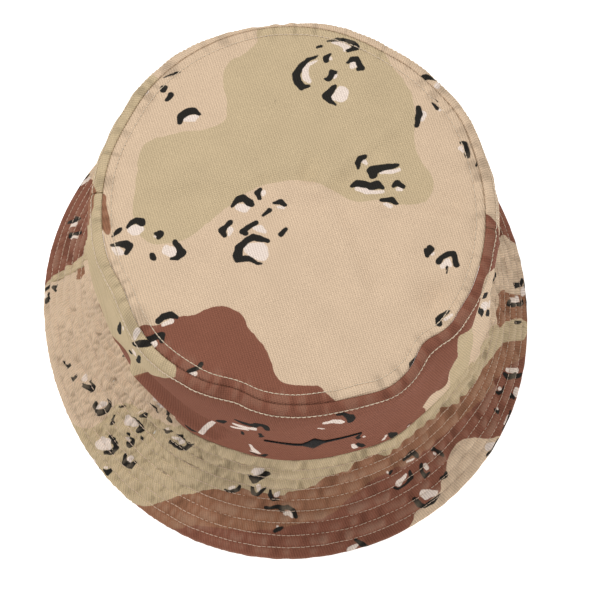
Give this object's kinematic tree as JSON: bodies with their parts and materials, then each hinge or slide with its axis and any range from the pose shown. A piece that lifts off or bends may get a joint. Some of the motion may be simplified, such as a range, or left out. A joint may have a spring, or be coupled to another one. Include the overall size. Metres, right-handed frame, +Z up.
{
  "type": "bucket hat",
  "caption": "Soft cotton bucket hat: round flat-topped crown over a short, downward-flaring brim quilted with rows of stitching.",
  "frame": {"origin": "on the surface that the brim's edge rests on, under the middle of the brim", "axes": "+Z up through the crown, -Y towards the front with the ornament, +X towards the wearer's left-hand side when worn facing -Y"},
  "size_m": [0.238, 0.255, 0.134],
  "materials": {
    "tan_twill": "matt",
    "brown_twill": "matt",
    "stiffener": "matt",
    "cotton_tape": "matt",
    "thread": "slight sheen",
    "embroidery": "sheen",
    "label_satin": "satin"
  },
  "bodies": {
    "hat": {"crown_top": "tan_twill", "crown_side_front": "brown_twill", "crown_side_back": "brown_twill", "brim_top_front": "brown_twill", "brim_top_back": "brown_twill", "brim_stiffener_front": "stiffener", "brim_stiffener_back": "stiffener", "brim_under_front": "tan_twill", "brim_under_back": "tan_twill", "top_seam_tape": "cotton_tape", "side_seam_tape_left": "cotton_tape", "side_seam_tape_right": "cotton_tape", "sweatband": "cotton_tape", "front_ornament": "embroidery", "brim_stitch_row_1": "thread", "brim_stitch_row_2": "thread", "brim_stitch_row_3": "thread", "brim_stitch_row_4": "thread", "brim_stitch_row_5": "thread", "brim_stitch_row_6": "thread", "brim_stitch_row_7": "thread", "brim_stitch_row_8": "thread", "crown_stitch_lower": "thread", "crown_stitch_upper": "thread"},
    "care_label": {"care_label": "label_satin"},
    "size_label": {"size_label": "label_satin"}
  },
  "joints": [
    {"name": "care_label_swing", "type": "hinge", "parent": "hat", "child": "care_label", "pos_m": [0, 0.08958, 0.08189], "axis": [-1, -0.0005, 0], "range_deg": [0, 150]},
    {"name": "size_label_swing", "type": "hinge", "parent": "hat", "child": "size_label", "pos_m": [0.03007, 0.08407, 0.08187], "axis": [-0.9356, 0.353, 0], "range_deg": [0, 150]}
  ]
}
